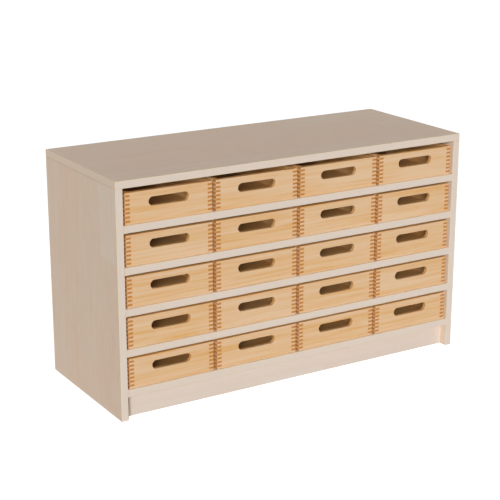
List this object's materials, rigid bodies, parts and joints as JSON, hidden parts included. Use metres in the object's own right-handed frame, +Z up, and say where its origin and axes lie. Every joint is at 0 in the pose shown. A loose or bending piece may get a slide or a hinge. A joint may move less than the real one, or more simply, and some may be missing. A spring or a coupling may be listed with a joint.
{
  "type": "tray storage cabinet",
  "caption": "Low storage cabinet with open rows of finger-jointed wooden trays, each drawn out by a slot in its front, on a recessed plinth.",
  "frame": {"origin": "on the floor, under the middle of the cabinet", "axes": "+X to the right as seen from the front, +Y from the front to the back, +Z up"},
  "size_m": [1.02, 0.4, 0.6],
  "materials": {
    "carcass_board": "pale wood decor laminate, satin",
    "edge_band": "pale wood band, satin",
    "back_board": "pale fibreboard, matt",
    "tray_wood": "honey-coloured solid wood, satin lacquer",
    "dowel_wood": "bare beech",
    "screw_steel": "zinc plated"
  },
  "bodies": {
    "cabinet": {"top_panel": "carcass_board", "side_panel_left": "carcass_board", "side_panel_right": "carcass_board", "bottom_panel": "carcass_board", "shelf_1": "carcass_board", "shelf_2": "carcass_board", "shelf_3": "carcass_board", "shelf_4": "carcass_board", "plinth_board_front": "carcass_board", "plinth_board_rear": "carcass_board", "back_panel": "back_board", "edge_bands_top_panel": "edge_band", "edge_bands_side_panels": "edge_band", "edge_bands_shelves": "edge_band", "dowels": "dowel_wood", "back_panel_screws": "screw_steel"},
    "tray_1_1": {"tray_1_1_front_board": "tray_wood", "tray_1_1_sides_back_base": "tray_wood"},
    "tray_1_2": {"tray_1_2_front_board": "tray_wood", "tray_1_2_sides_back_base": "tray_wood"},
    "tray_1_3": {"tray_1_3_front_board": "tray_wood", "tray_1_3_sides_back_base": "tray_wood"},
    "tray_1_4": {"tray_1_4_front_board": "tray_wood", "tray_1_4_sides_back_base": "tray_wood"},
    "tray_2_1": {"tray_2_1_front_board": "tray_wood", "tray_2_1_sides_back_base": "tray_wood"},
    "tray_2_2": {"tray_2_2_front_board": "tray_wood", "tray_2_2_sides_back_base": "tray_wood"},
    "tray_2_3": {"tray_2_3_front_board": "tray_wood", "tray_2_3_sides_back_base": "tray_wood"},
    "tray_2_4": {"tray_2_4_front_board": "tray_wood", "tray_2_4_sides_back_base": "tray_wood"},
    "tray_3_1": {"tray_3_1_front_board": "tray_wood", "tray_3_1_sides_back_base": "tray_wood"},
    "tray_3_2": {"tray_3_2_front_board": "tray_wood", "tray_3_2_sides_back_base": "tray_wood"},
    "tray_3_3": {"tray_3_3_front_board": "tray_wood", "tray_3_3_sides_back_base": "tray_wood"},
    "tray_3_4": {"tray_3_4_front_board": "tray_wood", "tray_3_4_sides_back_base": "tray_wood"},
    "tray_4_1": {"tray_4_1_front_board": "tray_wood", "tray_4_1_sides_back_base": "tray_wood"},
    "tray_4_2": {"tray_4_2_front_board": "tray_wood", "tray_4_2_sides_back_base": "tray_wood"},
    "tray_4_3": {"tray_4_3_front_board": "tray_wood", "tray_4_3_sides_back_base": "tray_wood"},
    "tray_4_4": {"tray_4_4_front_board": "tray_wood", "tray_4_4_sides_back_base": "tray_wood"},
    "tray_5_1": {"tray_5_1_front_board": "tray_wood", "tray_5_1_sides_back_base": "tray_wood"},
    "tray_5_2": {"tray_5_2_front_board": "tray_wood", "tray_5_2_sides_back_base": "tray_wood"},
    "tray_5_3": {"tray_5_3_front_board": "tray_wood", "tray_5_3_sides_back_base": "tray_wood"},
    "tray_5_4": {"tray_5_4_front_board": "tray_wood", "tray_5_4_sides_back_base": "tray_wood"}
  },
  "joints": [
    {"name": "tray_1_1_slide", "type": "slide", "parent": "cabinet", "child": "tray_1_1", "axis": [0, -1, 0], "range_m": [0, 0.395]},
    {"name": "tray_1_2_slide", "type": "slide", "parent": "cabinet", "child": "tray_1_2", "axis": [0, -1, 0], "range_m": [0, 0.395]},
    {"name": "tray_1_3_slide", "type": "slide", "parent": "cabinet", "child": "tray_1_3", "axis": [0, -1, 0], "range_m": [0, 0.395]},
    {"name": "tray_1_4_slide", "type": "slide", "parent": "cabinet", "child": "tray_1_4", "axis": [0, -1, 0], "range_m": [0, 0.395]},
    {"name": "tray_2_1_slide", "type": "slide", "parent": "cabinet", "child": "tray_2_1", "axis": [0, -1, 0], "range_m": [0, 0.395]},
    {"name": "tray_2_2_slide", "type": "slide", "parent": "cabinet", "child": "tray_2_2", "axis": [0, -1, 0], "range_m": [0, 0.395]},
    {"name": "tray_2_3_slide", "type": "slide", "parent": "cabinet", "child": "tray_2_3", "axis": [0, -1, 0], "range_m": [0, 0.395]},
    {"name": "tray_2_4_slide", "type": "slide", "parent": "cabinet", "child": "tray_2_4", "axis": [0, -1, 0], "range_m": [0, 0.395]},
    {"name": "tray_3_1_slide", "type": "slide", "parent": "cabinet", "child": "tray_3_1", "axis": [0, -1, 0], "range_m": [0, 0.395]},
    {"name": "tray_3_2_slide", "type": "slide", "parent": "cabinet", "child": "tray_3_2", "axis": [0, -1, 0], "range_m": [0, 0.395]},
    {"name": "tray_3_3_slide", "type": "slide", "parent": "cabinet", "child": "tray_3_3", "axis": [0, -1, 0], "range_m": [0, 0.395]},
    {"name": "tray_3_4_slide", "type": "slide", "parent": "cabinet", "child": "tray_3_4", "axis": [0, -1, 0], "range_m": [0, 0.395]},
    {"name": "tray_4_1_slide", "type": "slide", "parent": "cabinet", "child": "tray_4_1", "axis": [0, -1, 0], "range_m": [0, 0.395]},
    {"name": "tray_4_2_slide", "type": "slide", "parent": "cabinet", "child": "tray_4_2", "axis": [0, -1, 0], "range_m": [0, 0.395]},
    {"name": "tray_4_3_slide", "type": "slide", "parent": "cabinet", "child": "tray_4_3", "axis": [0, -1, 0], "range_m": [0, 0.395]},
    {"name": "tray_4_4_slide", "type": "slide", "parent": "cabinet", "child": "tray_4_4", "axis": [0, -1, 0], "range_m": [0, 0.395]},
    {"name": "tray_5_1_slide", "type": "slide", "parent": "cabinet", "child": "tray_5_1", "axis": [0, -1, 0], "range_m": [0, 0.395]},
    {"name": "tray_5_2_slide", "type": "slide", "parent": "cabinet", "child": "tray_5_2", "axis": [0, -1, 0], "range_m": [0, 0.395]},
    {"name": "tray_5_3_slide", "type": "slide", "parent": "cabinet", "child": "tray_5_3", "axis": [0, -1, 0], "range_m": [0, 0.395]},
    {"name": "tray_5_4_slide", "type": "slide", "parent": "cabinet", "child": "tray_5_4", "axis": [0, -1, 0], "range_m": [0, 0.395]}
  ]
}
